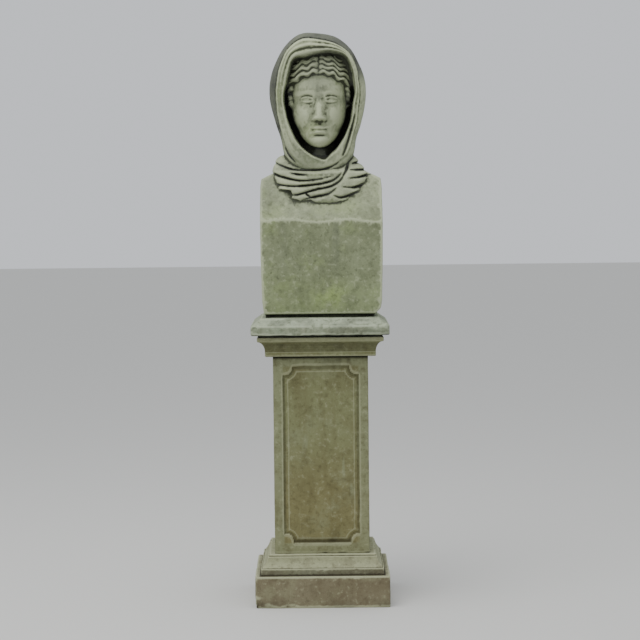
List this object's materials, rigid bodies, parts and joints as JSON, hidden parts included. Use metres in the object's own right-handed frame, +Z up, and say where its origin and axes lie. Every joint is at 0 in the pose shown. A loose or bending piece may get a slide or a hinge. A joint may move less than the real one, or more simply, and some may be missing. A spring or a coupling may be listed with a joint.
{
  "type": "veiled concrete garden bust with pedestal",
  "caption": "Weathered cast concrete bust of a veiled head on a square block, standing on a panelled garden pedestal.",
  "frame": {"origin": "centre of the plinth's underside", "axes": "+Z up along the object's height, the face looks towards -Y, +X to the viewer's right"},
  "size_m": [0.4116, 0.4116, 1.7102],
  "materials": {
    "bust_concrete": "weathered cast concrete, pitted, with pale lichen and moss",
    "slab_concrete": "weathered cast concrete, blue-grey, worn arrises",
    "shaft_concrete": "algae-stained cast concrete with brown patches",
    "base_concrete": "dirty brown-grey cast concrete with pale worn edges"
  },
  "bodies": {
    "root": {"bust": "bust_concrete", "cap_slab": "slab_concrete", "pedestal_shaft": "shaft_concrete", "pedestal_base": "base_concrete"}
  },
  "joints": []
}
